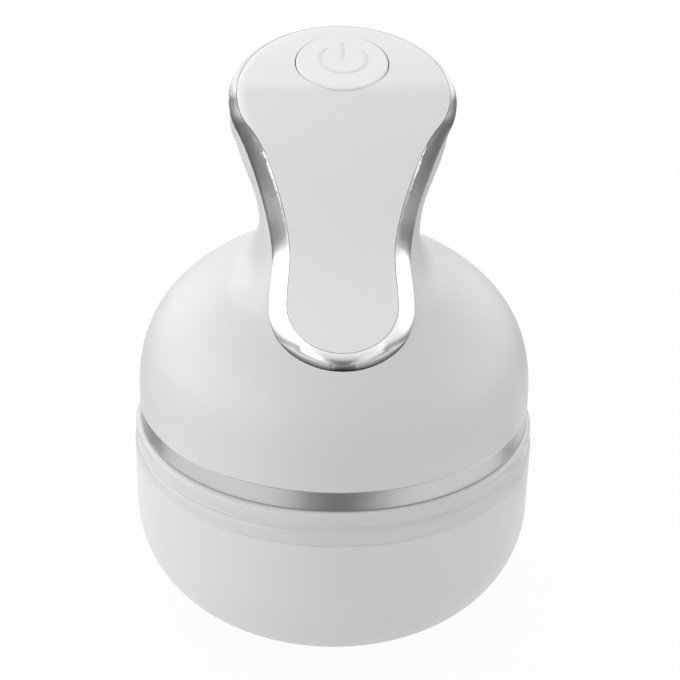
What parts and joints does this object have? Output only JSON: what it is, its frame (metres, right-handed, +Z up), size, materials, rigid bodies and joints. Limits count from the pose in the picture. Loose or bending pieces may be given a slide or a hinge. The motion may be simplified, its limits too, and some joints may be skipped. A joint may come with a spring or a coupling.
{
  "type": "electric roller massager",
  "caption": "Cordless hand massager standing on its protective cap: domed body with a waisted grip, push button on the head and geared studded rollers under the cap.",
  "frame": {"origin": "on the floor under the middle of the cap's flat foot", "axes": "+Z up along the round body's axis, -Y towards the front with the faceplate, +X to the viewer's right when looking at the front"},
  "size_m": [0.099, 0.099, 0.1441],
  "materials": {
    "cap_plastic": "white plastic with a soft gloss",
    "white_shell": "white plastic with a soft satin coat",
    "white_band": "white plastic with a soft gloss",
    "white_faceplate": "white plastic with a soft satin coat",
    "white_button": "white silicone-like button",
    "silver_trim": "satin plated silver",
    "carrier_plastic": "light plastic",
    "roller_rubber": "soft grey silicone",
    "steel": "plain steel",
    "gear_plastic": "natural acetal",
    "brass": "machined brass",
    "case_plastic": "dark grey plastic",
    "black_plastic": "black plastic",
    "lead_insulation": "red insulation",
    "battery_wrap": "blue shrink wrap",
    "circuit_board": "green solder mask",
    "plug_rubber": "white soft rubber"
  },
  "bodies": {
    "handset": {"body_shell": "white_shell", "lower_housing": "white_band", "decor_ring": "silver_trim", "handle_trim": "silver_trim", "handle_faceplate": "white_faceplate", "gear_case": "case_plastic", "motor_plate": "steel", "motor": "steel", "motor_end_cap": "black_plastic", "motor_leads": "lead_insulation", "output_bush": "brass", "battery": "battery_wrap", "battery_cradle": "case_plastic", "main_board": "circuit_board", "switch_board": "circuit_board", "tact_switch": "black_plastic", "charging_socket": "steel", "charge_board": "circuit_board", "housing_screws": "steel", "gear_screws": "steel", "motor_screws": "steel", "cradle_screws": "steel", "main_board_screws": "steel", "switch_board_screws": "steel"},
    "cap": {"protective_cap": "cap_plastic"},
    "button": {"power_button": "white_button"},
    "plug": {"port_plug": "plug_rubber"},
    "rotor": {"roller_carrier": "carrier_plastic", "roller_axles": "steel", "carrier_screw": "steel", "planet_carrier": "gear_plastic", "planet_pins": "steel", "thrust_washer": "steel"},
    "sun": {"sun_gear": "brass", "motor_shaft": "steel"},
    "planet_1": {"planet_gear_1": "gear_plastic"},
    "planet_2": {"planet_gear_2": "gear_plastic"},
    "planet_3": {"planet_gear_3": "gear_plastic"},
    "roller_1": {"roller_ball_1": "roller_rubber"},
    "roller_2": {"roller_ball_2": "roller_rubber"},
    "roller_3": {"roller_ball_3": "roller_rubber"},
    "roller_4": {"roller_ball_4": "roller_rubber"}
  },
  "joints": [
    {"name": "cap_slide", "type": "slide", "parent": "handset", "child": "cap", "axis": [0, 0, -1], "range_m": [0, 0.05]},
    {"name": "button_press", "type": "slide", "parent": "handset", "child": "button", "axis": [0, 0.3123, -0.95], "range_m": [0, 0.0008], "stiffness_N_per_m": 2000},
    {"name": "plug_slide", "type": "slide", "parent": "handset", "child": "plug", "axis": [0, 1, 0], "range_m": [0, 0.01]},
    {"name": "rotor_spin", "type": "hinge", "parent": "handset", "child": "rotor", "pos_m": [0, 0, 0.04], "axis": [0, 0, 1], "continuous": true},
    {"name": "sun_spin", "type": "hinge", "parent": "handset", "child": "sun", "pos_m": [0, 0, 0.049], "axis": [0, 0, 1], "continuous": true},
    {"name": "planet_1_spin", "type": "hinge", "parent": "rotor", "child": "planet_1", "pos_m": [0, 0.0135, 0.0487], "axis": [0, 0, 1], "continuous": true},
    {"name": "planet_2_spin", "type": "hinge", "parent": "rotor", "child": "planet_2", "pos_m": [-0.01169, -0.00675, 0.0487], "axis": [0, 0, 1], "continuous": true},
    {"name": "planet_3_spin", "type": "hinge", "parent": "rotor", "child": "planet_3", "pos_m": [0.01169, -0.00675, 0.0487], "axis": [0, 0, 1], "continuous": true},
    {"name": "roller_1_spin", "type": "hinge", "parent": "rotor", "child": "roller_1", "pos_m": [0.0245, 0, 0.0205], "axis": [1, 0, 0], "continuous": true},
    {"name": "roller_2_spin", "type": "hinge", "parent": "rotor", "child": "roller_2", "pos_m": [0, 0.0245, 0.0205], "axis": [0, 1, 0], "continuous": true},
    {"name": "roller_3_spin", "type": "hinge", "parent": "rotor", "child": "roller_3", "pos_m": [-0.0245, 0, 0.0205], "axis": [1, 0, 0], "continuous": true},
    {"name": "roller_4_spin", "type": "hinge", "parent": "rotor", "child": "roller_4", "pos_m": [0, -0.0245, 0.0205], "axis": [0, 1, 0], "continuous": true}
  ],
  "couplings": [
    {"joint": "sun_spin", "follows": "rotor_spin", "ratio": 5},
    {"joint": "planet_1_spin", "follows": "rotor_spin", "ratio": -2.6667},
    {"joint": "planet_2_spin", "follows": "rotor_spin", "ratio": -2.6667},
    {"joint": "planet_3_spin", "follows": "rotor_spin", "ratio": -2.6667}
  ]
}
